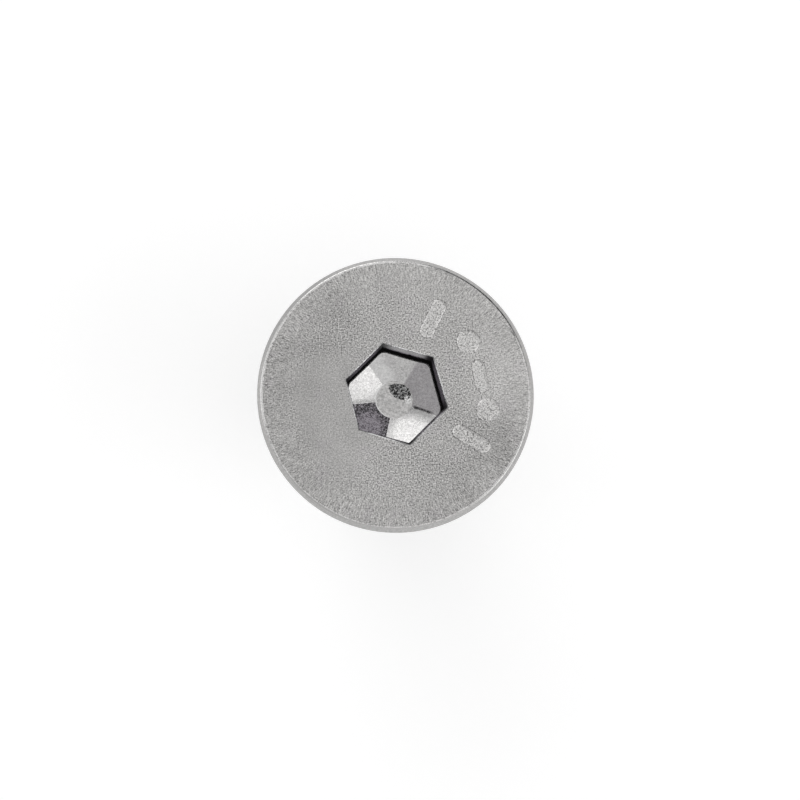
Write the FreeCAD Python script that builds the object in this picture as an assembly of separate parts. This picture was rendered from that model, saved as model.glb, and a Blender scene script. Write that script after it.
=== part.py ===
import FreeCAD, Part
import math
import os

# Countersunk socket screw, M8 x 20, one solid, in millimetres.
# It stands on its thread end with its head up. The origin is the centre of the
# end face, and +Z runs along the axis to the flat top of the head.

Vector = FreeCAD.Vector
ORIGIN = Vector(0, 0, 0)
UP = Vector(0, 0, 1)

# Overall length: a countersunk screw is measured to the top of its head
LENGTH = 20.0

# Head
HEAD_DIAMETER = 15.8
HEAD_CONE_ANGLE = 90.0
HEAD_LAND = 0.25
HEAD_BEVEL_WIDTH = 0.26
HEAD_BEVEL_HEIGHT = 0.22

# Shank
NECK_DIAMETER = 7.2
NECK_LENGTH = 1.4
NECK_FILLET = 0.4
NECK_TAPER_ANGLE = 30.0
END_FACE_DIAMETER = 6.0
END_CHAMFER_ANGLE = 45.0

# Right-hand thread
THREAD_DIAMETER = 7.9
THREAD_PITCH = 1.25
THREAD_ANGLE = 60.0
CREST_FLAT = 0.18
ROOT_FLAT = 0.22
RUNOUT_TURNS = 0.75

# Hexagonal socket
SOCKET_ACROSS_FLATS = 5.08
SOCKET_WALL_DEPTH = 2.4
SOCKET_TURN = 45.0
MOUTH_BEVEL = 0.06

# Punched floor of the socket: five uneven facets that slope down to a round flat seat,
# each given by the direction in which it rises
FACET_DIRECTIONS = (19.5, 97.5, 158.5, 217.5, 292.5)
FACET_REACH = 2.75
FACET_ANGLE = 22.0
SEAT_DIAMETER = 2.24
SEAT_STEP = 0.06
DIMPLE_DIAMETER = 1.3
DIMPLE_ANGLE = 6.0

# How far a cutting tool passes the surface that it opens
OVERRUN = 0.08


def tangent(degrees):
    return math.tan(math.radians(degrees))


def rounded_outline(corners):
    """A closed wire through (x, z, radius) corners in the XZ plane, each rounded by its radius."""
    edges = []
    arcs = []
    for index, (x, z, radius) in enumerate(corners):
        corner = Vector(x, 0, z)
        before = Vector(corners[index - 1][0], 0, corners[index - 1][1]) - corner
        after_x, after_z, _ = corners[(index + 1) % len(corners)]
        after = Vector(after_x, 0, after_z) - corner
        before.normalize()
        after.normalize()
        half_angle = before.getAngle(after) / 2
        start = corner + before * (radius / math.tan(half_angle))
        end = corner + after * (radius / math.tan(half_angle))
        inward = (before + after).normalize()
        middle = corner + inward * (radius / math.sin(half_angle) - radius)
        arcs.append((start, middle, end))
    for index, (start, middle, end) in enumerate(arcs):
        if corners[index][2] > 0:
            edges.append(Part.Arc(start, middle, end).toShape())
        following = arcs[(index + 1) % len(arcs)][0]
        edges.append(Part.LineSegment(end, following).toShape())
    return Part.Wire(edges)


def head_heights():
    """Where the bevel, the cone and the neck begin, going up from the end face."""
    cone_height = (HEAD_DIAMETER - NECK_DIAMETER) / 2 / tangent(HEAD_CONE_ANGLE / 2)
    bevel_bottom = LENGTH - HEAD_BEVEL_HEIGHT
    cone_top = bevel_bottom - HEAD_LAND
    cone_bottom = cone_top - cone_height
    neck_bottom = cone_bottom - NECK_LENGTH
    return bevel_bottom, cone_top, cone_bottom, neck_bottom


def make_blank():
    """The blank without its thread: end chamfer, shank, neck, cone and bevelled head."""
    thread_radius = THREAD_DIAMETER / 2
    neck_radius = NECK_DIAMETER / 2
    end_radius = END_FACE_DIAMETER / 2
    head_radius = HEAD_DIAMETER / 2
    bevel_bottom, cone_top, cone_bottom, neck_bottom = head_heights()
    chamfer_height = (thread_radius - end_radius) * tangent(END_CHAMFER_ANGLE)
    taper_height = (thread_radius - neck_radius) / tangent(NECK_TAPER_ANGLE)
    outline = rounded_outline([
        (0, 0, 0),
        (end_radius, 0, 0),
        (thread_radius, chamfer_height, 0),
        (thread_radius, neck_bottom - taper_height, 0),
        (neck_radius, neck_bottom, 0),
        (neck_radius, cone_bottom, NECK_FILLET),
        (head_radius, cone_top, 0),
        (head_radius, bevel_bottom, 0),
        (head_radius - HEAD_BEVEL_WIDTH, LENGTH, 0),
        (0, LENGTH, 0),
    ])
    return Part.Face(outline).revolve(ORIGIN, UP, 360)


def thread_root_radius():
    """The flanks between the crest's flat and the root's flat set how deep the thread is."""
    flanks = THREAD_PITCH - CREST_FLAT - ROOT_FLAT
    return THREAD_DIAMETER / 2 - flanks / 2 / tangent(THREAD_ANGLE / 2)


def thread_path(height, root_radius, rise):
    """The groove's path at its root: helices of one turn, then a conical one that runs out."""
    runout_height = RUNOUT_TURNS * THREAD_PITCH
    full_height = height - runout_height
    edges = []
    for turn in range(math.ceil(full_height / THREAD_PITCH)):
        z = turn * THREAD_PITCH
        helix = Part.makeHelix(THREAD_PITCH, min(THREAD_PITCH, full_height - z), root_radius)
        helix.translate(UP * z)
        edges += helix.Edges

    # A conical helix takes its pitch and height along its slant
    slant = math.hypot(runout_height, rise)
    cone_angle = math.degrees(math.atan2(rise, runout_height))
    runout = Part.makeHelix(slant / RUNOUT_TURNS, slant, root_radius, cone_angle)
    runout.rotate(ORIGIN, UP, 360 * full_height / THREAD_PITCH)
    runout.translate(UP * full_height)
    return Part.Wire(edges + runout.Edges)


def cut_thread(body):
    """Cut the helical groove, from one turn below the end face to the neck."""
    _, _, _, neck_bottom = head_heights()
    root_radius = thread_root_radius()
    outer_radius = THREAD_DIAMETER / 2 + OVERRUN
    path = thread_path(neck_bottom + THREAD_PITCH, root_radius, outer_radius - root_radius)

    root_half = ROOT_FLAT / 2
    outer_half = root_half + (outer_radius - root_radius) * tangent(THREAD_ANGLE / 2)
    section = Part.makePolygon([
        Vector(root_radius, 0, -root_half),
        Vector(root_radius, 0, root_half),
        Vector(outer_radius, 0, outer_half),
        Vector(outer_radius, 0, -outer_half),
        Vector(root_radius, 0, -root_half),
    ])
    groove = path.makePipeShell([section], True, True)
    groove.translate(UP * -THREAD_PITCH)
    return body.cut(groove)


def hexagon(across_flats, z, turn):
    """A regular hexagon's wire at height z, with a corner at the given angle."""
    corner_radius = across_flats / 2 / math.cos(math.radians(30))
    corners = []
    for index in range(6):
        angle = math.radians(turn + 60 * index)
        corners.append(Vector(corner_radius * math.cos(angle), corner_radius * math.sin(angle), z))
    return Part.makePolygon(corners + corners[:1])


def hexagonal_frustum(flats_low, z_low, flats_high, z_high, turn):
    """A solid between two hexagons that share the axis and the turn."""
    wires = [hexagon(flats_low, z_low, turn), hexagon(flats_high, z_high, turn)]
    return Part.makeLoft(wires, True, True)


def block_below_facet(apex_height, direction):
    """Everything that lies below one facet's plane, which rises from the axis in its direction."""
    size = 2 * HEAD_DIAMETER
    block = Part.makeBox(size, size, size, Vector(-size / 2, -size / 2, -size))
    block.rotate(ORIGIN, Vector(0, 1, 0), -FACET_ANGLE)
    block.rotate(ORIGIN, UP, direction)
    block.translate(UP * apex_height)
    return block


def widest_facet():
    """The largest angle between two neighbouring facets' directions."""
    following = FACET_DIRECTIONS[1:] + (FACET_DIRECTIONS[0] + 360,)
    return max(after - before for before, after in zip(FACET_DIRECTIONS, following))


def cut_socket(body):
    """Cut the hexagonal socket: bevelled mouth, flat walls, faceted floor, seat and dimple."""
    flats = SOCKET_ACROSS_FLATS
    floor = LENGTH - SOCKET_WALL_DEPTH
    top = LENGTH + OVERRUN
    facet_slope = tangent(FACET_ANGLE)
    seat_radius = SEAT_DIAMETER / 2

    # The seat's circle takes in the creases between the facets, which reach furthest out
    seat_reach = seat_radius * math.cos(math.radians(widest_facet() / 2))
    apex = floor - FACET_REACH * facet_slope
    facet_low = apex + seat_reach * facet_slope
    seat = facet_low - SEAT_STEP

    walls = hexagonal_frustum(flats, floor, flats, top, SOCKET_TURN)
    mouth_flats = flats + 2 * (MOUTH_BEVEL + OVERRUN)
    mouth = hexagonal_frustum(flats, LENGTH - MOUTH_BEVEL, mouth_flats, top, SOCKET_TURN)

    facets = hexagonal_frustum(flats, facet_low, flats, floor, SOCKET_TURN)
    for direction in FACET_DIRECTIONS:
        facets = facets.cut(block_below_facet(apex, direction))

    pit = Part.makeCylinder(seat_radius, floor - seat, Vector(0, 0, seat), UP)
    dimple_radius = DIMPLE_DIAMETER / 2
    dimple_depth = dimple_radius * tangent(DIMPLE_ANGLE)
    dimple = Part.makeCone(0, dimple_radius, dimple_depth, Vector(0, 0, seat - dimple_depth), UP)

    for tool in (walls, mouth, facets, pit, dimple):
        body = body.cut(tool)
    return body


def make_screw():
    return cut_socket(cut_thread(make_blank()))


os.makedirs("parts", exist_ok=True)
screw = make_screw()
screw.exportStep("parts/countersunk_screw.step")
print("countersunk_screw", screw.isValid(), len(screw.Solids), round(screw.Volume, 2), screw.BoundBox)
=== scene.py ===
import math

import bmesh
import bpy
import numpy as np
from mathutils import Matrix, Vector


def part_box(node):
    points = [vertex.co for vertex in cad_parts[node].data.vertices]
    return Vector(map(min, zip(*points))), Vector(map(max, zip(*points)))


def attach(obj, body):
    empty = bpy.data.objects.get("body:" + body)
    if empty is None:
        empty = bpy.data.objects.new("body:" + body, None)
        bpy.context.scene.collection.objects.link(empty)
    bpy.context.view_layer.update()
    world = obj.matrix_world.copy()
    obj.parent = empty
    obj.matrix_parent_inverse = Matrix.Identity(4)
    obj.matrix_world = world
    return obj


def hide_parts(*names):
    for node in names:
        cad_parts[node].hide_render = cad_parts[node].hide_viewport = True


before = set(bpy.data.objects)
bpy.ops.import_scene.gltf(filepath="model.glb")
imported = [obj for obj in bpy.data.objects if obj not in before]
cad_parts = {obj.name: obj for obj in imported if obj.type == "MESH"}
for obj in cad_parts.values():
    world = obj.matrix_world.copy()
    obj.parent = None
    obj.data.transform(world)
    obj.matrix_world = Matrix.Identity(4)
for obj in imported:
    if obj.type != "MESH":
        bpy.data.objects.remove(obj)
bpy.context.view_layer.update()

# The screw is drawn in millimetres and set down in metres, standing on its thread end.
MM = 0.001
NODE = "countersunk_screw"
_, box_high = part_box(NODE)

# Overall sizes come from the frame, the forms between them are those of the solid
LENGTH = box_high.z / MM
HEAD_RADIUS = box_high.x / MM

# Raised marks stand on the head, so its face lies lower than the top by their rise.
# They are plain bars and pips that spell nothing. Each has the azimuth and radius
# of its place, its length and width, and its turn.
MARK_RISE = 0.08
MARKS = (
    (64, 4.8, 2.3, 0.75, 64),
    (36, 5.1, 1.25, 1.25, 0),
    (12, 4.9, 1.8, 0.65, 102),
    (-10, 5.3, 1.25, 1.25, 0),
    (-31, 5.0, 2.3, 0.75, -31),
)
MARK_SOFTNESS = 0.08
MARK_MARGIN = 1.3 * MARK_SOFTNESS
MARK_STEP = 0.035
MARK_SINK = 0.002
FACE_Z = LENGTH - MARK_RISE

# Head, from its flat face down to the neck
BEVEL_WIDTH = 0.23
BEVEL_HEIGHT = 0.22
RIM_ROUNDING = 0.14
LAND = 0.25
LAND_ROUNDING = 0.05
CONE_EDGE_ROUNDING = 0.06
FACE_MARGIN = 0.14
NECK_RADIUS = 3.6
NECK_LENGTH = 1.4
NECK_FILLET = 0.4
NECK_TAPER = 0.606

# End face and thread
END_RADIUS = 3.0
END_RINGS = (END_RADIUS, END_RADIUS - 0.06, 2.2, 1.2, 0.4)
THREAD_RADIUS = 3.95
PITCH = 1.25
FLANK_ANGLE = math.radians(30)
CREST_FLAT = 0.18
ROOT_FLAT = 0.22
CREST_ROUNDING = 0.06
ROOT_ROUNDING = 0.14
RUNOUT_TURNS = 0.75
RUNOUT_LIFT = 1.1

# Socket: its mouth is wider on one side, and five uneven facets slope down to the seat
SOCKET_APOTHEM = 2.54
SOCKET_DEPTH = 2.4
CORNER_ANGLE = math.radians(45)
MOUTH_ROUNDING = 0.07
MOUTH_LEAN = 0.09
MOUTH_LEAN_ANGLE = math.radians(315)
FLOOR_INSET = 0.04
FLOOR_CORNER = 0.5
FLOOR_FILLET = 0.05
FACET_DIRECTIONS = tuple(math.radians(angle) for angle in (19.5, 97.5, 156, 220, 296))
FACET_REACH = 2.75
FACET_SLOPE = math.tan(math.radians(22))
FACET_HOLLOW = 0.35
SEAT_RADIUS = 1.11
SEAT_STEP = 0.01
DIMPLE_RADIUS = 0.65
DIMPLE_DEPTH = 0.05

BEVEL_BOTTOM = LENGTH - BEVEL_HEIGHT
LAND_MIDDLE = BEVEL_BOTTOM - LAND / 2
CONE_TOP = BEVEL_BOTTOM - LAND
CONE_BOTTOM = CONE_TOP - (HEAD_RADIUS - NECK_RADIUS)
NECK_BOTTOM = CONE_BOTTOM - NECK_LENGTH
SOCKET_FLOOR = LENGTH - SOCKET_DEPTH
APEX = SOCKET_FLOOR - FACET_REACH * FACET_SLOPE

# Columns of the mesh round the axis; every hexagon corner falls on one
COLUMNS = 192
THETA = np.arange(COLUMNS) * 2 * math.pi / COLUMNS

# Material slots of the screw, in order
FACE, RIM, WALL, FACETS, SEAT, FLANK, THREAD = range(7)

# Edges that turn by more than this are shaded sharp, and so are the creases that
# lie this close to their angle and turn by more than the least turn
SHARP_ANGLE = math.radians(28)
CREASE_CLOSENESS = 0.01
CREASE_TURN = 0.05

# Softly lighter and darker places on the face as (x, y, reach, change of shade)
SHADED_PLACES = (
    (5.8, -3.0, 2.6, -0.12),
    (3.2, -5.4, 2.4, -0.07),
    (-3.7, 3.7, 3.0, -0.06),
    (-5.9, 1.2, 2.6, -0.08),
    (5.2, 1.4, 3.2, 0.07),
    (-1.6, -5.2, 3.0, 0.04),
)
CALM_PLACE = (-3.9, -0.9)

# Changes of tone round the rim's painted highlight line, toward one azimuth each, as
# (azimuth, where it starts and is full, strength, tone, warmth)
RIM_TONES = (
    (262, 4.5, 6.8, 1.0, 0.5, 0.012),
    (172, 6.7, 7.5, 0.65, 0.95, 0.01),
    (322, 6.7, 7.5, 0.4, 0.45, 0.01),
)
DARK_LINE_SIDE = math.radians(50)
DARK_LAND_SIDE = math.radians(140)

# Painted light and shade beside the facets' creases, on one side each, as
# (number of the crease, where it starts and is full, strength, tone)
CREASE_LIGHT_AND_SHADE = (
    (1, -1.15, -0.6, 0.27, 0.95),
    (2, -0.33, -0.05, 0.55, 0.2),
    (3, 0.7, 0.05, 0.3, 0.15),
    (4, -1.0, -0.1, 0.62, 0.1),
)
SHADED_FACET_CENTRE = (-1.45, -1.55)
WEDGE_SOFTNESS = 0.03

# The floor's half width in metres, and its own glow from the screw outward
FLOOR_REACH = 3.0
FLOOR_GLOW_STARTS = 200
FLOOR_GLOW_ENDS = 900
FLOOR_GLOW = (0.3, 0.5)

# Soft lamps as (name, azimuth, angle from the zenith, width and height in mm, radiance)
LAMP_DISTANCE = 230
LAMPS = (
    ("lamp_right", -19, 45, 110, 110, 1.05),
    ("lamp_back", 109, 49, 110, 110, 1.25),
)

# Surroundings: level at each height from the horizon to the zenith, then soft patches
# as (azimuth, angle from the zenith, inner and outer half angle, change of level)
SKY = ((0.0, 1.0), (0.3, 1.0), (0.55, 0.62), (0.85, 0.58), (0.95, 0.86), (1.0, 0.9))
PATCHES = (
    (44, 52, 17, 32, -0.3),
    (295, 42, 16, 42, 0.2),
    (42, 84, 14, 30, -0.2),
    (191, 40, 15, 30, -0.08),
    (172, 64, 5, 16, 0.9),
)

# The photograph's size in pixels, and the middle and width of the head's top in it.
# The camera stands this far from the top, in millimetres.
PHOTO_SIZE = 800
HEAD_CENTRE = (396.3, 393.1)
HEAD_WIDTH = 278.1
VIEW_AZIMUTH = 249
VIEW_TILT = 7.4
VIEW_DISTANCE = 80.0
SENSOR_WIDTH = 36.0


def rounded_path(corners, steps=4):
    """Points along (x, z, radius) corners of an open path, with each corner rounded."""
    points = [corners[0][:2]]
    for before, corner, after in zip(corners, corners[1:], corners[2:]):
        here = np.array(corner[:2])
        radius = corner[2]
        if radius == 0:
            points.append(tuple(here))
            continue
        toward = np.array(before[:2]) - here
        away = np.array(after[:2]) - here
        toward = toward / np.linalg.norm(toward)
        away = away / np.linalg.norm(away)
        half = math.acos(np.clip(toward @ away, -1, 1)) / 2
        middle = toward + away
        centre = here + middle / np.linalg.norm(middle) * radius / math.sin(half)
        first = here + toward * radius / math.tan(half) - centre
        last = here + away * radius / math.tan(half) - centre
        for step in range(steps + 1):
            share = step / steps
            spoke = first * (1 - share) + last * share
            points.append(tuple(centre + spoke / np.linalg.norm(spoke) * radius))
    points.append(corners[-1][:2])
    return points


def hexagon_radius(apothem, corner_rounding=0.0, angle=THETA):
    """Radius of the socket's hexagon in each column, its corners cut by a rounding."""
    turn = np.mod(angle - CORNER_ANGLE, math.pi / 3) - math.pi / 6
    radius = apothem / np.cos(turn)
    if corner_rounding > 0:
        # Between the tangent points the outline is an arc about a centre near the corner
        flat = apothem - corner_rounding
        reach = flat / math.cos(math.pi / 6)
        off_corner = math.pi / 6 - np.abs(turn)
        inside = corner_rounding ** 2 - (reach * np.sin(off_corner)) ** 2
        arc = reach * np.cos(off_corner) + np.sqrt(np.maximum(inside, 0))
        on_arc = radius * np.sin(np.abs(turn)) > flat * math.tan(math.pi / 6)
        radius = np.where(on_arc, arc, radius)
    return radius


def mouth_radius(share):
    """The socket's mouth between its outer edge (0) and the walls (1), wider on one side."""
    lean = MOUTH_LEAN * np.maximum(np.cos(THETA - MOUTH_LEAN_ANGLE), 0)
    return hexagon_radius(SOCKET_APOTHEM + MOUTH_ROUNDING * (1 - share)) + lean * (1 - share)


def crease_angles():
    """Where two neighbouring facets meet, halfway between their directions."""
    following = FACET_DIRECTIONS[1:] + (FACET_DIRECTIONS[0] + 2 * math.pi,)
    return [(before + after) / 2 for before, after in zip(FACET_DIRECTIONS, following)]


def floor_columns():
    """The columns' angles with the nearest one moved onto each crease."""
    angles = THETA.copy()
    for crease in crease_angles():
        nearest = round(crease / (2 * math.pi) * COLUMNS) % COLUMNS
        angles[nearest] = crease % (2 * math.pi)
    return angles


def floor_height(radius, angles):
    """Height of the punched floor: flat facets, each a little hollowed toward a cone."""
    turns = [np.cos(angles - direction) for direction in FACET_DIRECTIONS]
    reach = radius * (FACET_HOLLOW + (1 - FACET_HOLLOW) * np.max(turns, axis=0))
    return np.minimum(APEX + reach * FACET_SLOPE, SOCKET_FLOOR)


class Skin:
    """The screw's surface, gathered as rings of vertices that share the columns."""

    def __init__(self):
        self.points = []
        self.highlight_and_wear = []
        self.faces = []
        self.slots = []

    def add_points(self, radius, height, angle=THETA, highlight_and_wear=0.0):
        """A ring of vertices, with how bright a painted highlight makes its edge."""
        start = len(self.points)
        self.highlight_and_wear.extend([highlight_and_wear] * COLUMNS)
        radius = np.broadcast_to(radius, angle.shape)
        height = np.broadcast_to(height, angle.shape)
        rows = np.column_stack((radius * np.cos(angle), radius * np.sin(angle), height))
        self.points.extend(map(tuple, rows))
        return start

    def add_face(self, corners, slot):
        self.faces.append(corners)
        self.slots.append(slot)

    def add_band(self, lower, upper, slot):
        """Quads between two full rings, seen from outside as lower and upper."""
        for column in range(COLUMNS):
            following = (column + 1) % COLUMNS
            corners = (lower + column, lower + following, upper + following, upper + column)
            self.add_face(corners, slot)

    def add_rings(self, rings, slot, start=None, angle=THETA):
        """Bands through (radius, height, painted highlight) rings, from an earlier ring if one is
        given.
        """
        for radius, height, *highlight_and_wear in rings:
            ring = self.add_points(radius, height, angle, *highlight_and_wear)
            if start is not None:
                self.add_band(start, ring, slot)
            start = ring
        return start

    def add_cap(self, ring, height, slot, upward):
        """A fan from a ring to a point on the axis."""
        centre = len(self.points)
        self.points.append((0.0, 0.0, height))
        self.highlight_and_wear.append(0.0)
        for column in range(COLUMNS):
            edge = (ring + column, ring + (column + 1) % COLUMNS)
            self.add_face((*edge, centre) if upward else (*edge[::-1], centre), slot)


def thread_samples():
    """One pitch of the thread as (offset, radius) samples from the middle of a groove."""
    depth = (PITCH - CREST_FLAT - ROOT_FLAT) / 2 / math.tan(FLANK_ANGLE)
    root = THREAD_RADIUS - depth
    half = rounded_path([
        (0, root, 0),
        (ROOT_FLAT / 2, root, ROOT_ROUNDING),
        ((PITCH - CREST_FLAT) / 2, THREAD_RADIUS, CREST_ROUNDING),
        (PITCH / 2, THREAD_RADIUS, 0),
    ])
    offsets = np.array([point[0] for point in half])
    radii = np.array([point[1] for point in half])

    # The straight flank gets more samples, so that the end chamfer cuts it cleanly
    fine = np.unique(np.concatenate((offsets, np.linspace(0.17, 0.5, 6))))
    fine = fine[np.concatenate(([True], np.diff(fine) > 1e-4))]
    radii = np.interp(fine, offsets, radii)
    offsets = np.concatenate((-fine[:0:-1], fine[:-1]))
    return offsets, np.concatenate((radii[:0:-1], radii[:-1])), depth


def envelope(height):
    """The shank that the thread is cut into: end chamfer, crests and neck taper."""
    chamfer = THREAD_RADIUS - END_RADIUS
    heights = (0, chamfer, NECK_BOTTOM - NECK_TAPER, NECK_BOTTOM)
    return np.interp(height, heights, (END_RADIUS, THREAD_RADIUS, THREAD_RADIUS, NECK_RADIUS))


def add_thread(skin):
    """Rows that climb one pitch a turn, held between the end face and the neck."""
    offsets, radii, depth = thread_samples()
    climb = PITCH * THETA / (2 * math.pi)
    turns = math.ceil(NECK_BOTTOM / PITCH) + 2
    runout_height = RUNOUT_TURNS * PITCH
    rows = []
    for turn in range(-1, turns):
        groove = turn * PITCH + climb
        risen = np.clip((groove - NECK_BOTTOM + runout_height) / runout_height, 0, 1)
        lift = risen * depth * RUNOUT_LIFT
        for offset, radius in zip(offsets, radii):
            height = np.clip(groove + offset, 0, NECK_BOTTOM)
            outline = np.minimum(envelope(height), radius + lift)
            rows.append(skin.add_points(outline, height))

    # The last column of a row meets the first column of the row one turn on
    per_turn = len(offsets)
    for index in range(len(rows) - 1):
        for column in range(COLUMNS - 1):
            low, high = rows[index] + column, rows[index + 1] + column
            skin.add_face((low, low + 1, high + 1, high), THREAD)
        if index + 1 + per_turn < len(rows):
            low, high = rows[index] + COLUMNS - 1, rows[index + 1] + COLUMNS - 1
            across, above = rows[index + per_turn], rows[index + 1 + per_turn]
            skin.add_face((low, across, above, high), THREAD)


def add_end(skin):
    """The flat end face that the screw stands on."""
    start = skin.add_points(END_RINGS[0], 0.0)
    for radius in END_RINGS[1:]:
        ring = skin.add_points(radius, 0.0)
        skin.add_band(ring, start, THREAD)
        start = ring
    skin.add_cap(start, 0.0, THREAD, upward=False)


def add_head(skin):
    """Neck, fillet, cone, land, bevel and the flat face as far as the socket's mouth."""
    side = rounded_path([
        (NECK_RADIUS, NECK_BOTTOM, 0),
        (NECK_RADIUS, CONE_BOTTOM, NECK_FILLET),
        (HEAD_RADIUS, CONE_TOP, CONE_EDGE_ROUNDING),
        (HEAD_RADIUS, LAND_MIDDLE, 0),
    ], steps=6)
    ring = skin.add_rings(side, FLANK)

    face_edge = HEAD_RADIUS - BEVEL_WIDTH
    face_start = face_edge - FACE_MARGIN
    rim = rounded_path([
        (HEAD_RADIUS, LAND_MIDDLE, 0),
        (HEAD_RADIUS, BEVEL_BOTTOM - MARK_RISE, LAND_ROUNDING),
        (face_edge, FACE_Z, RIM_ROUNDING),
        (face_start, FACE_Z, 0),
    ], steps=6)

    # The last five rings of the bevel's inner edge carry a painted highlight line
    bevel = rim[1:-1]
    highlight_start = len(bevel) - 5
    rings = [(radius, z, float(index >= highlight_start)) for index, (radius, z) in enumerate(bevel)]
    ring = skin.add_rings(rings, RIM, ring)
    ring = skin.add_rings(rim[-1:], FACE, ring)
    mouth = mouth_radius(0)
    face = []
    for share in (0.04, 0.1, 0.2, 0.35, 0.5, 0.65, 0.8, 0.9, 0.97, 1.0):
        face.append((face_start * (1 - share) + mouth * share, FACE_Z))
    return skin.add_rings(face, FACE, ring)


def add_socket(skin, ring):
    """Rounded mouth, flat walls, then the punched floor: facets, seat and dimple."""
    mouth = []
    for step in range(1, 5):
        angle = step / 4 * math.pi / 2
        drop = MOUTH_ROUNDING * (1 - math.cos(angle))
        mouth.append((mouth_radius(math.sin(angle)), FACE_Z - drop))
    ring = skin.add_rings(mouth, WALL, ring)

    # The walls' corners grow rounder toward the floor
    angles = floor_columns()
    outline = hexagon_radius(SOCKET_APOTHEM - FLOOR_INSET, FLOOR_CORNER, angles)
    rounder = hexagon_radius(SOCKET_APOTHEM - 0.01, FLOOR_CORNER / 2, angles)
    outline_height = floor_height(outline, angles)
    wall = []
    for height in (FACE_Z - 0.2, FACE_Z - 0.6, FACE_Z - 1.1, FACE_Z - 1.6, SOCKET_FLOOR + 0.4):
        wall.append((hexagon_radius(SOCKET_APOTHEM), height))
    wall.append((rounder, outline_height + 0.2))
    wall.append((outline, outline_height + FLOOR_FILLET))
    ring = skin.add_rings(wall, WALL, ring)

    # The floor's outline has a small fillet that carries a painted highlight
    facets = []
    for step in range(4):
        angle = step / 3 * math.pi / 2
        radius = outline - FLOOR_FILLET * math.sin(angle)
        height = floor_height(radius, angles) + FLOOR_FILLET * (1 - math.sin(angle))
        facets.append((radius, height, 1 - step / 3))
    for share in (0.04, 0.1, 0.2, 0.35, 0.5, 0.65, 0.8, 0.92, 1.0):
        radius = (outline - FLOOR_FILLET) * (1 - share) + SEAT_RADIUS * share
        facets.append((radius, floor_height(radius, angles)))
    ring = skin.add_rings(facets, FACETS, ring, angles)

    # A thin upright step leads down to the seat
    seat_height = floor_height(SEAT_RADIUS, angles).min() - SEAT_STEP
    seat = []
    for radius in (SEAT_RADIUS, SEAT_RADIUS - 0.03, 0.95, 0.8, DIMPLE_RADIUS):
        seat.append((radius, seat_height))
    for share in (0.9, 0.7, 0.45, 0.2):
        seat.append((DIMPLE_RADIUS * share, seat_height - DIMPLE_DEPTH * (1 - share)))
    ring = skin.add_rings(seat, SEAT, ring)
    skin.add_cap(ring, seat_height - DIMPLE_DEPTH, SEAT, upward=True)


def add_mark(skin, azimuth, reach, length, width, turn):
    """A low pad with soft edges, whose border sinks just under the head's face."""
    azimuth, turn = math.radians(azimuth), math.radians(turn)
    centre = np.array((reach * math.cos(azimuth), reach * math.sin(azimuth)))
    along = np.array((math.cos(turn), math.sin(turn)))
    across = np.array((-along[1], along[0]))
    columns = int((length + 2 * MARK_MARGIN) / MARK_STEP) + 1
    rows = int((width + 2 * MARK_MARGIN) / MARK_STEP) + 1
    xs = np.linspace(-length / 2 - MARK_MARGIN, length / 2 + MARK_MARGIN, columns)
    ys = np.linspace(-width / 2 - MARK_MARGIN, width / 2 + MARK_MARGIN, rows)
    corner = width / 2
    start = len(skin.points)
    for y in ys:
        for x in xs:
            out_x = max(abs(x) - length / 2 + corner, 0)
            out_y = max(abs(y) - width / 2 + corner, 0)
            outside = math.hypot(out_x, out_y) - corner
            share = min(max(0.5 - outside / (2 * MARK_SOFTNESS), 0), 1)
            share = share * share * (3 - 2 * share)
            place = centre + along * x + across * y
            sink = MARK_SINK * (share < 0.01)
            skin.points.append((place[0], place[1], FACE_Z + MARK_RISE * share - sink))
            # The share of its rise also sets the mark's wear, its painted highlight and the
            # painted shade at its foot
            skin.highlight_and_wear.append(share)
    for row in range(rows - 1):
        for column in range(columns - 1):
            low = start + row * columns + column
            skin.add_face((low, low + 1, low + columns + 1, low + columns), FACE)


def sharpen_creases(mesh):
    """Keep three of the shallow creases between the facets crisp."""
    bm = bmesh.new()
    bm.from_mesh(mesh)
    crisp = crease_angles()[2:]
    for edge in bm.edges:
        faces = edge.link_faces
        if len(faces) == 2 and all(face.material_index == FACETS for face in faces):
            middle = (edge.verts[0].co + edge.verts[1].co) / 2
            angle = math.atan2(middle.y, middle.x) % (2 * math.pi)
            on_crease = min(abs(angle - crease) for crease in crisp) < CREASE_CLOSENESS
            if on_crease and edge.calc_face_angle() > CREASE_TURN:
                edge.smooth = False
    bm.to_mesh(mesh)
    bm.free()


def build_screw():
    """The whole screw as one mesh, welded where rings and rows meet."""
    skin = Skin()
    add_end(skin)
    add_thread(skin)
    ring = add_head(skin)
    add_socket(skin, ring)
    for mark in MARKS:
        add_mark(skin, *mark)
    mesh = bpy.data.meshes.new("screw_body")
    points = [(x * MM, y * MM, z * MM) for x, y, z in skin.points]
    mesh.from_pydata(points, [], skin.faces)
    mesh.polygons.foreach_set("material_index", skin.slots)
    mesh.attributes.new("highlight_and_wear", "FLOAT", "POINT").data.foreach_set("value", skin.highlight_and_wear)
    bm = bmesh.new()
    bm.from_mesh(mesh)
    bmesh.ops.remove_doubles(bm, verts=bm.verts, dist=1e-7)
    bmesh.ops.dissolve_degenerate(bm, edges=bm.edges, dist=1e-7)
    bmesh.ops.triangulate(bm, faces=[face for face in bm.faces if len(face.verts) > 4])
    bm.to_mesh(mesh)
    bm.free()
    mesh.shade_smooth()
    mesh.set_sharp_from_angle(angle=SHARP_ANGLE)
    sharpen_creases(mesh)
    body = bpy.data.objects.new("screw_body", mesh)
    bpy.context.scene.collection.objects.link(body)
    return body


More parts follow.
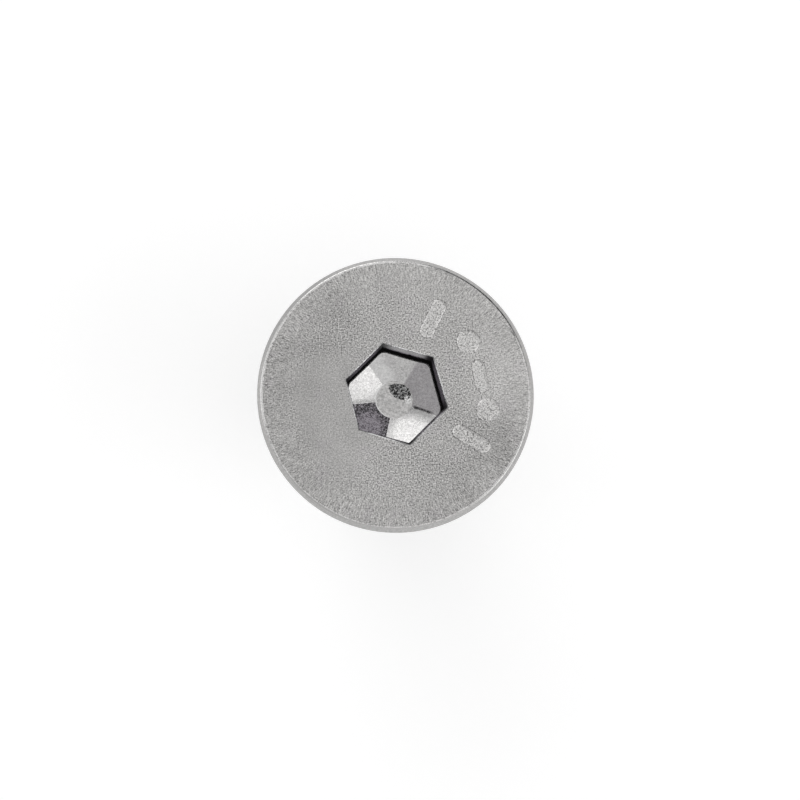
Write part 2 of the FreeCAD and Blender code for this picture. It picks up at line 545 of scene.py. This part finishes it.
class Nodes:
    """A short way to write the nodes of a material or of the world."""

    def __init__(self, tree):
        self.tree = tree

    def add(self, kind, settings=(), **inputs):
        """A node; an input is named by its socket, or by _0, _1 and so on for its number."""
        node = self.tree.nodes.new(kind)
        for key, value in dict(settings).items():
            setattr(node, key, value)
        for key, value in inputs.items():
            self.put(node.inputs[int(key[1:]) if key[0] == "_" else key], value)
        return node

    def put(self, socket, value):
        if isinstance(value, bpy.types.NodeSocket):
            self.tree.links.new(value, socket)
        else:
            socket.default_value = value

    def math(self, operation, first, second=0.0, clamp=False):
        settings = {"operation": operation, "use_clamp": clamp}
        return self.add("ShaderNodeMath", settings, _0=first, _1=second).outputs[0]

    def plus(self, first, second, clamp=False):
        return self.math("ADD", first, second, clamp)

    def minus(self, first, second):
        return self.math("SUBTRACT", first, second)

    def times(self, first, second):
        return self.math("MULTIPLY", first, second)

    def larger(self, first, second):
        return self.math("MAXIMUM", first, second)

    def span(self, value, low, high, to_low=0.0, to_high=1.0):
        """Smooth change from to_low to to_high as the value goes from low to high."""
        node = self.add("ShaderNodeMapRange", {"interpolation_type": "SMOOTHSTEP"})
        for socket, number in zip(node.inputs, (value, low, high, to_low, to_high)):
            self.put(socket, number)
        return node.outputs[0]

    def place(self):
        """The object's own coordinates in millimetres."""
        coordinates = self.add("ShaderNodeTexCoord").outputs["Object"]
        scale = {"operation": "SCALE"}
        return self.add("ShaderNodeVectorMath", scale, _0=coordinates, Scale=1 / MM).outputs[0]

    def highlight_and_wear(self):
        """Where painted highlight lines lie, and how far up a mark a place is, kept with the mesh.
        """
        return self.add("ShaderNodeAttribute", {"attribute_name": "highlight_and_wear"}).outputs["Fac"]

    def parts(self, vector):
        return self.add("ShaderNodeSeparateXYZ", _0=vector).outputs

    def vector(self, x, y, z):
        return self.add("ShaderNodeCombineXYZ", _0=x, _1=y, _2=z).outputs[0]

    def noise(self, vector, per_mm, detail=2.0, roughness=0.5):
        settings = {"Vector": vector, "Scale": per_mm, "Detail": detail, "Roughness": roughness}
        return self.add("ShaderNodeTexNoise", **settings).outputs[0]

    def blend(self, share, first, second):
        """A colour between two others."""
        colours = {"data_type": "RGBA"}
        return self.add("ShaderNodeMix", colours, _0=share, _6=first, _7=second).outputs[2]

    def bump(self, height, distance_mm):
        return self.add("ShaderNodeBump", Height=height, Distance=distance_mm * MM).outputs[0]


class Surface(Nodes):
    """The nodes of a new material."""

    def __init__(self, name):
        self.material = bpy.data.materials.new(name)
        self.material.use_nodes = True
        super().__init__(self.material.node_tree)
        self.shader = self.tree.nodes["Principled BSDF"]

    def finish(self, colour, roughness, normal=None, metallic=1.0):
        self.put(self.shader.inputs["Base Color"], colour)
        self.put(self.shader.inputs["Roughness"], roughness)
        self.put(self.shader.inputs["Metallic"], metallic)
        if normal is not None:
            self.put(self.shader.inputs["Normal"], normal)
        return self.material


def grey(level, warm=0.0):
    return (level * (1 + warm), level, level * (1 - warm), 1.0)


def distance(nodes, x, y, centre_x=0, centre_y=0):
    """Distance from an upright line, in millimetres."""
    across = nodes.minus(x, centre_x)
    along = nodes.minus(y, centre_y)
    total = nodes.plus(nodes.times(across, across), nodes.times(along, along))
    return nodes.math("SQRT", total)


def polar(nodes, place, across, along):
    """Coordinates that follow the head's radii: fine across them and longer along them."""
    x, y, _ = nodes.parts(place)
    radius = distance(nodes, x, y)
    cosine = nodes.times(nodes.math("DIVIDE", x, radius), across)
    sine = nodes.times(nodes.math("DIVIDE", y, radius), across)
    return nodes.vector(cosine, sine, nodes.times(radius, along)), radius


def beside(nodes, x, y, angle):
    """Places along and aside of a line that leaves the axis at the given angle."""
    cosine, sine = math.cos(angle), math.sin(angle)
    along = nodes.plus(nodes.times(x, cosine), nodes.times(y, sine))
    aside = nodes.minus(nodes.times(y, cosine), nodes.times(x, sine))
    return along, aside


def facing(nodes, x, y, angle, low, high, to_low=0.0, to_high=1.0):
    """A change toward one side of the head, between two distances from the axis."""
    outward, _ = beside(nodes, x, y, angle)
    return nodes.span(outward, low, high, to_low, to_high)


def wedge(nodes, x, y, first, last):
    """1 between two lines that leave the axis, counted from the first to the last."""
    _, past_first = beside(nodes, x, y, first)
    _, past_last = beside(nodes, x, y, last)
    after_first = nodes.span(past_first, -WEDGE_SOFTNESS, WEDGE_SOFTNESS)
    before_last = nodes.span(past_last, WEDGE_SOFTNESS, -WEDGE_SOFTNESS)
    return nodes.times(after_first, before_last)


def face_steel():
    """The dull forged face: sandy grain that turns into short streaks toward the rim."""
    nodes = Surface("face_steel")
    place = nodes.place()
    x, y, _ = nodes.parts(place)
    rays, radius = polar(nodes, place, 130.0, 4.0)
    near_rim = nodes.span(radius, 4.6, 7.2)
    sand = nodes.minus(nodes.noise(place, 12.0, roughness=0.7), 0.5)
    sand = nodes.times(sand, nodes.span(near_rim, 0, 1, 1.3, 0.75))
    streaks = nodes.minus(nodes.noise(rays, 1.0, roughness=0.6), 0.5)
    grain = nodes.plus(sand, nodes.times(streaks, nodes.times(near_rim, 0.6)))

    # The marks are worn, and the edge beside the rim gets a painted highlight line, except where
    # the rim's line is dark
    highlight_and_wear = nodes.times(nodes.highlight_and_wear(), facing(nodes, x, y, DARK_LINE_SIDE, 6.5, 7.2, 1.0, 0.0))

    # The grain is fainter in one place on the left, and coarser on the marks
    off_calm = distance(nodes, x, nodes.times(y, 0.7), *CALM_PLACE)
    calm = nodes.span(off_calm, 1.6, 3.8, 0.4, 1.0)
    calm = nodes.larger(calm, nodes.span(radius, 4.8, 6.2, 0.0, 0.85))
    coarse = nodes.noise(place, 6.0, detail=3.0, roughness=0.8)
    marks = nodes.times(nodes.minus(coarse, 0.43), nodes.times(highlight_and_wear, 2.2))

    # Clouds and a few soft places vary its tone, and a slant across the head is painted light,
    # lighter toward +x and +y
    clouds = nodes.times(nodes.minus(nodes.noise(place, 0.45, detail=3.0), 0.5), 0.3)
    level = nodes.times(nodes.plus(x, y), 0.006)
    for centre_x, centre_y, reach, change in SHADED_PLACES:
        away = distance(nodes, x, y, centre_x, centre_y)
        level = nodes.plus(level, nodes.span(away, 0.3 * reach, reach, change, 0.0))
    level = nodes.plus(level, nodes.span(radius, 6.0, 7.4, 0.535, 0.56))
    shade = nodes.plus(nodes.times(nodes.times(grain, calm), 2.6), clouds)
    shade = nodes.plus(nodes.plus(shade, marks), level, clamp=True)
    colour = nodes.blend(shade, grey(0.14, 0.016), grey(0.76, 0.014))
    violet = nodes.span(nodes.noise(place, 0.8, detail=1.0), 0.55, 0.7, 0.0, 0.025)
    colour = nodes.blend(violet, colour, (0.5, 0.35, 0.55, 1.0))

    # The marks' edges are worn and carry a painted highlight, above painted shade at their foot
    foot_shade = nodes.times(nodes.span(highlight_and_wear, 0.0, 0.02), nodes.span(highlight_and_wear, 0.3, 0.1))
    foot_shade = nodes.times(foot_shade, nodes.span(coarse, 0.4, 0.5, 0.85, 0.2))
    colour = nodes.blend(foot_shade, colour, grey(0.06))
    edge = nodes.times(nodes.span(highlight_and_wear, 0.1, 0.5), nodes.span(highlight_and_wear, 0.97, 0.6))
    edge = nodes.times(edge, nodes.span(coarse, 0.35, 0.55, 0.3, 0.9))
    edge = nodes.times(edge, nodes.span(nodes.noise(place, 1.8), 0.42, 0.56, 0.2, 1.0))
    colour = nodes.blend(nodes.times(edge, 0.85), colour, grey(0.9, 0.01))
    specks = nodes.span(nodes.noise(place, 9.0, detail=3.0, roughness=0.8), 0.53, 0.6)
    specks = nodes.times(specks, highlight_and_wear)
    colour = nodes.blend(nodes.times(specks, 0.6), colour, grey(0.88, 0.01))

    roughness = nodes.minus(nodes.span(grain, -0.2, 0.2, 0.5, 0.4), nodes.times(edge, 0.2))
    height = nodes.plus(grain, nodes.times(nodes.times(coarse, highlight_and_wear), 2.0))
    return nodes.finish(colour, roughness, nodes.bump(height, 0.012))


def rim_steel():
    """The bevel and the land round the head, smoother than the face, with a painted highlight
    line.
    """
    nodes = Surface("rim_steel")
    place = nodes.place()
    x, y, _ = nodes.parts(place)
    highlight_and_wear = nodes.highlight_and_wear()
    grain = nodes.noise(place, 9.0, detail=3.0, roughness=0.7)
    plain = nodes.blend(nodes.span(grain, 0.35, 0.65), grey(0.38, 0.012), grey(0.48, 0.012))
    bright = nodes.blend(nodes.span(grain, 0.4, 0.55), grey(0.52, 0.01), grey(0.76, 0.01))
    for azimuth, low, high, strength, tone, warm in RIM_TONES:
        share = facing(nodes, x, y, math.radians(azimuth), low, high, 0.0, strength)
        bright = nodes.blend(share, bright, grey(tone, warm))

    # One stretch of the line is painted shade, darker and grainy, and painted shade darkens one
    # side of the land
    dark_line = nodes.blend(nodes.span(grain, 0.42, 0.58), grey(0.05), grey(0.38))
    bright = nodes.blend(facing(nodes, x, y, DARK_LINE_SIDE, 6.6, 7.4), bright, dark_line)
    dark_land = facing(nodes, x, y, DARK_LAND_SIDE, 6.6, 7.6, 0.0, 0.35)
    plain = nodes.blend(dark_land, plain, grey(0.25))
    colour = nodes.blend(highlight_and_wear, plain, bright)
    return nodes.finish(colour, nodes.span(highlight_and_wear, 0, 1, 0.34, 0.2), nodes.bump(grain, 0.005))


def wall_steel():
    """The socket's walls: a painted highlight at the mouth, a grey upper part, black painted shade
    below.
    """
    nodes = Surface("wall_steel")
    place = nodes.place()
    x, y, height = nodes.parts(place)
    grain = nodes.noise(place, 6.0, detail=3.0, roughness=0.7)
    fine = nodes.noise(place, 13.0, roughness=0.8)
    ragged = nodes.plus(height, nodes.times(grain, 0.2))
    waves = nodes.minus(nodes.noise(place, 3.0, detail=3.0, roughness=0.7), 0.5)
    uneven = nodes.plus(ragged, waves)

    # Below an uneven line the walls are painted black as shade, and painted shade darkens the
    # upper part by the six corners
    corners = 0.0
    for side in range(6):
        angle = CORNER_ANGLE + math.radians(60 * side)
        corners = nodes.larger(facing(nodes, x, y, angle, 2.55, 2.95), corners)
    upper = nodes.span(uneven, FACE_Z - 1.3, FACE_Z - 1.1)
    upper = nodes.times(upper, nodes.minus(1.0, nodes.times(corners, 0.9)))
    plain = nodes.span(fine, 0.4, 0.6)
    plain = nodes.blend(plain, (0.1, 0.09, 0.105, 1.0), (0.24, 0.22, 0.25, 1.0))

    # One wall is painted lighter, with a painted reflection as a light streak along its top
    one_wall = nodes.times(nodes.span(x, -0.95, -0.75), nodes.span(x, 1.9, 1.5))
    one_wall = nodes.times(one_wall, nodes.span(y, 1.2, 1.8))
    streak = nodes.span(uneven, FACE_Z - 1.0, FACE_Z - 0.75)
    streak = nodes.times(streak, nodes.span(fine, 0.3, 0.5))
    band = nodes.blend(streak, (0.52, 0.48, 0.54, 1.0), grey(0.98))
    colour = nodes.blend(upper, grey(0.012), nodes.blend(one_wall, plain, band))
    shadow = nodes.span(ragged, FACE_Z - 0.1, FACE_Z + 0.05)
    shadow = nodes.times(shadow, nodes.span(fine, 0.4, 0.6, 0.9, 0.2))
    colour = nodes.blend(shadow, colour, grey(0.03))

    # A painted highlight lines the mouth's outer edge, narrower where the mouth is wider
    lean = nodes.times(nodes.larger(nodes.minus(x, y), 0.0), 0.003)
    painted_edge_highlight = nodes.span(nodes.minus(height, lean), FACE_Z - 0.024, FACE_Z - 0.01)
    edge = nodes.times(painted_edge_highlight, nodes.span(fine, 0.42, 0.52, 0.3, 1.0))
    edge = nodes.times(edge, nodes.minus(1.0, nodes.times(corners, 0.7)))
    colour = nodes.blend(edge, colour, grey(0.95))

    # Only the edge and the streak shine, because the walls are seen almost edge on
    shiny = nodes.larger(edge, nodes.times(nodes.times(one_wall, streak), 0.6))
    nodes.put(nodes.shader.inputs["Specular IOR Level"], 0.0)
    return nodes.finish(colour, 0.4, nodes.bump(grain, 0.01), metallic=shiny)


def facet_steel():
    """The punched facets, the glossiest part: speckled, with painted light and shade by the
    creases and a crease lined with painted shade.
    """
    nodes = Surface("facet_steel")
    place = nodes.place()
    x, y, _ = nodes.parts(place)
    creases = crease_angles()
    speckle = nodes.noise(place, 12.0, detail=3.0, roughness=0.8)
    blots = nodes.noise(place, 7.0, detail=3.0, roughness=0.8)
    clouds = nodes.noise(place, 1.6)
    mixed = nodes.times(nodes.plus(speckle, blots), 0.5)
    colour = nodes.blend(nodes.span(mixed, 0.35, 0.65), grey(0.38, 0.01), grey(0.68, 0.01))
    # Painted light and shade beside some of the creases
    for crease, low, high, strength, tone in CREASE_LIGHT_AND_SHADE:
        along, aside = beside(nodes, x, y, creases[crease])
        side = nodes.span(aside, 0.0, math.copysign(0.05, low))
        near = nodes.span(aside, low, high, 0.0, strength)
        near = nodes.times(near, nodes.span(along, 0.0, 0.3))
        colour = nodes.blend(nodes.times(near, side), colour, grey(tone))

    # One facet has a touch of violet
    tinted = wedge(nodes, x, y, creases[4], creases[0])
    colour = nodes.blend(nodes.times(tinted, 0.2), colour, (0.54, 0.48, 0.55, 1.0))

    # Another is painted darker as shade and blotched, most of all along its edges
    off_centre = distance(nodes, x, y, *SHADED_FACET_CENTRE)
    edges = nodes.span(off_centre, 0.5, 1.1, 0.0, 0.055)
    dark = nodes.span(off_centre, 0.4, 1.0)
    dark = nodes.blend(dark, (0.21, 0.18, 0.22, 1.0), (0.03, 0.03, 0.035, 1.0))
    blotched = nodes.span(nodes.minus(mixed, edges), 0.42, 0.53)
    blotched = nodes.blend(blotched, dark, (0.88, 0.82, 0.9, 1.0))

    # Light specks lie along its two creases
    _, past_first = beside(nodes, x, y, creases[2])
    _, past_last = beside(nodes, x, y, creases[3])
    near = nodes.larger(nodes.span(past_first, 0.5, 0.05), nodes.span(past_last, -0.6, -0.1))
    specks = nodes.span(nodes.noise(place, 8.0, roughness=0.8), 0.57, 0.62)
    specks = nodes.times(near, specks)
    blotched = nodes.blend(nodes.times(specks, 0.8), blotched, (1.0, 0.97, 1.0, 1.0))
    shaded_facet = wedge(nodes, x, y, creases[2], creases[3])
    colour = nodes.blend(nodes.times(shaded_facet, 0.9), colour, blotched)
    cloudy = nodes.span(clouds, 0.4, 0.7, 0.0, 0.15)
    colour = nodes.blend(cloudy, colour, (0.31, 0.29, 0.31, 1.0))

    # A thin line of painted shade follows part of one crease
    along, aside = beside(nodes, x, y, creases[4])
    aside = nodes.math("ABSOLUTE", nodes.minus(aside, nodes.times(speckle, 0.1)))
    line = nodes.times(nodes.span(aside, 0.04, 0.13, 1.0, 0.0), nodes.span(along, 2.6, 2.2))
    line = nodes.times(line, nodes.span(along, 1.15, 1.3))
    line = nodes.times(line, nodes.span(speckle, 0.44, 0.58, 1.0, 0.5))
    colour = nodes.blend(line, colour, grey(0.01))
    # A painted highlight lines the floor's outline
    colour = nodes.blend(nodes.times(nodes.highlight_and_wear(), 0.8), colour, grey(0.98))
    return nodes.finish(colour, 0.22, nodes.bump(nodes.plus(speckle, clouds), 0.006))


def seat_steel():
    """The round seat at the bottom, with a dark grainy patch, a painted highlight and a few
    painted sparkles.
    """
    nodes = Surface("seat_steel")
    place = nodes.place()
    x, y, _ = nodes.parts(place)
    grain = nodes.noise(place, 13.0, roughness=0.8)
    blots = nodes.noise(place, 7.5, detail=3.0, roughness=0.8)
    mixed = nodes.times(nodes.plus(grain, blots), 0.5)
    clean = nodes.blend(nodes.span(blots, 0.3, 0.7), grey(0.4, 0.012), grey(0.78, 0.012))

    # A painted highlight runs round the left of its edge
    seat_highlight = nodes.span(distance(nodes, x, y), SEAT_RADIUS - 0.08, SEAT_RADIUS - 0.03)
    seat_highlight = nodes.times(seat_highlight, nodes.span(x, -0.2, -0.6))
    clean = nodes.blend(seat_highlight, clean, grey(0.85))

    # The patch is a lens between two circles
    below = nodes.plus(distance(nodes, x, y, 0.5, 0.8), 0.07)
    furthest = nodes.larger(below, distance(nodes, x, y, 0.2, 0.1))
    furthest = nodes.plus(furthest, nodes.times(blots, 0.16))
    patch = nodes.span(furthest, 0.92, 0.98, 1.0, 0.0)
    dark = nodes.blend(nodes.span(mixed, 0.485, 0.56), grey(0.008), grey(0.46))
    colour = nodes.blend(patch, clean, dark)
    # A painted glint sparkles near its right
    sparkle = nodes.span(distance(nodes, x, y, 0.86, 0.04), 0.12, 0.36, 1.0, 0.0)
    sparkle = nodes.times(sparkle, nodes.span(blots, 0.46, 0.56))
    colour = nodes.blend(sparkle, colour, grey(0.95))
    return nodes.finish(colour, 0.4, nodes.bump(grain, 0.005))


def turned_steel(name, ring_scale, level, root_dirt_and_shade_level):
    """Cone, neck and thread: smooth metal with fine lines that run round the axis, the thread's
    roots darker with dirt and painted shade.
    """
    nodes = Surface(name)
    place = nodes.place()
    x, y, z = nodes.parts(place)
    stretched = (nodes.times(x, 0.25), nodes.times(y, 0.25), nodes.times(z, ring_scale))
    rings = nodes.noise(nodes.vector(*stretched), 1.0, detail=3.0, roughness=0.7)
    grain = nodes.noise(place, 5.0, detail=3.0, roughness=0.7)
    height = nodes.plus(nodes.times(rings, 0.85), nodes.times(grain, 0.35))
    lines = nodes.span(height, 0.4, 0.8)
    bright = nodes.blend(lines, grey(level * 0.84), grey(level))
    # The thread's roots are darker, with dirt and painted shade
    dirty_shaded_root = nodes.blend(lines, grey(root_dirt_and_shade_level * 0.84), grey(root_dirt_and_shade_level))
    outer = nodes.span(distance(nodes, x, y), THREAD_RADIUS - 0.75, THREAD_RADIUS - 0.05)
    colour = nodes.blend(outer, dirty_shaded_root, bright)
    return nodes.finish(colour, nodes.span(grain, 0.3, 0.7, 0.32, 0.26), nodes.bump(height, 0.005))


def add_floor():
    """A white floor that keeps the screw's shadow and looks white to the eye and in the metal."""
    mesh = bpy.data.meshes.new("floor")
    corners = [(-1, -1), (1, -1), (1, 1), (-1, 1)]
    points = [(x * FLOOR_REACH, y * FLOOR_REACH, 0) for x, y in corners]
    mesh.from_pydata(points, [], [(0, 1, 2, 3)])
    floor = bpy.data.objects.new("floor", mesh)
    bpy.context.scene.collection.objects.link(floor)
    nodes = Surface("floor_white")
    rays = nodes.add("ShaderNodeLightPath").outputs
    seen = nodes.larger(rays["Is Camera Ray"], rays["Is Glossy Ray"])
    seen = nodes.larger(seen, rays["Is Transmission Ray"])
    x, y, _ = nodes.parts(nodes.place())
    glow = nodes.span(distance(nodes, x, y), FLOOR_GLOW_STARTS, FLOOR_GLOW_ENDS, *FLOOR_GLOW)
    nodes.put(nodes.shader.inputs["Emission Color"], (1, 1, 1, 1))
    nodes.put(nodes.shader.inputs["Emission Strength"], nodes.times(seen, glow))
    mesh.materials.append(nodes.finish(grey(0.88), 0.9, metallic=0.0))


def direction(azimuth, tilt):
    """The way toward an azimuth and an angle from the zenith, both in degrees."""
    azimuth, tilt = math.radians(azimuth), math.radians(tilt)
    across = math.sin(tilt)
    return Vector((across * math.cos(azimuth), across * math.sin(azimuth), math.cos(tilt)))


def add_lamps():
    """Square soft lamps that aim at the head."""
    aim = Vector((0, 0, LENGTH * MM))
    for name, azimuth, tilt, width, height, radiance in LAMPS:
        toward = direction(azimuth, tilt)
        lamp = bpy.data.lights.new(name, "AREA")
        lamp.shape = "RECTANGLE"
        lamp.size = width * MM
        lamp.size_y = height * MM
        lamp.energy = radiance * math.pi * lamp.size * lamp.size_y
        holder = bpy.data.objects.new(name, lamp)
        holder.location = aim + toward * LAMP_DISTANCE * MM
        holder.rotation_euler = toward.to_track_quat("Z", "Y").to_euler()
        bpy.context.scene.collection.objects.link(holder)


def add_world():
    """Studio surroundings: white by the horizon, greyer above, with soft patches."""
    world = bpy.data.worlds.new("studio")
    bpy.context.scene.world = world
    world.use_nodes = True
    nodes = Nodes(world.node_tree)
    seen = nodes.add("ShaderNodeTexCoord").outputs["Generated"]
    ramp = nodes.add("ShaderNodeValToRGB", _0=nodes.parts(seen)[2])
    stops = ramp.color_ramp.elements
    while len(stops) < len(SKY):
        stops.new(0.5)
    for stop, (height, level) in zip(stops, SKY):
        stop.position = height
        stop.color = (level, level, level, 1.0)
    total = ramp.outputs[0]
    for azimuth, tilt, inner, outer, change in PATCHES:
        dot = {"operation": "DOT_PRODUCT"}
        near = nodes.add("ShaderNodeVectorMath", dot, _0=seen, _1=direction(azimuth, tilt))
        limits = math.cos(math.radians(outer)), math.cos(math.radians(inner))
        total = nodes.plus(total, nodes.span(near.outputs["Value"], *limits, 0.0, change))
    nodes.put(world.node_tree.nodes["Background"].inputs[0], total)


def add_camera():
    """Looks down on the head from a little below and left of its axis."""
    scale = 2 * HEAD_RADIUS / HEAD_WIDTH
    back = direction(VIEW_AZIMUTH, VIEW_TILT)
    right = Vector((0, 1, 0)).cross(back).normalized()
    up = back.cross(right)
    middle = PHOTO_SIZE / 2
    off_right, off_up = middle - HEAD_CENTRE[0], HEAD_CENTRE[1] - middle
    aim = Vector((0, 0, LENGTH)) + (right * off_right + up * off_up) * scale
    data = bpy.data.cameras.new("camera")
    data.sensor_width = SENSOR_WIDTH
    data.lens = SENSOR_WIDTH * VIEW_DISTANCE / (PHOTO_SIZE * scale)
    data.clip_start = 0.001
    data.clip_end = 10.0
    camera = bpy.data.objects.new("camera", data)
    turn = Matrix((right, up, back)).transposed().to_4x4()
    camera.matrix_world = Matrix.Translation((aim + back * VIEW_DISTANCE) * MM) @ turn
    bpy.context.scene.collection.objects.link(camera)
    bpy.context.scene.camera = camera


screw = build_screw()
for material in (
    face_steel(),
    rim_steel(),
    wall_steel(),
    facet_steel(),
    seat_steel(),
    turned_steel("cone_steel", 9.0, 0.56, 0.56),
    turned_steel("thread_steel", 5.0, 0.62, 0.34),
):
    screw.data.materials.append(material)
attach(screw, "root")
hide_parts(NODE)

add_floor()
add_lamps()
add_world()
add_camera()
bpy.context.scene.view_settings.view_transform = "Standard"
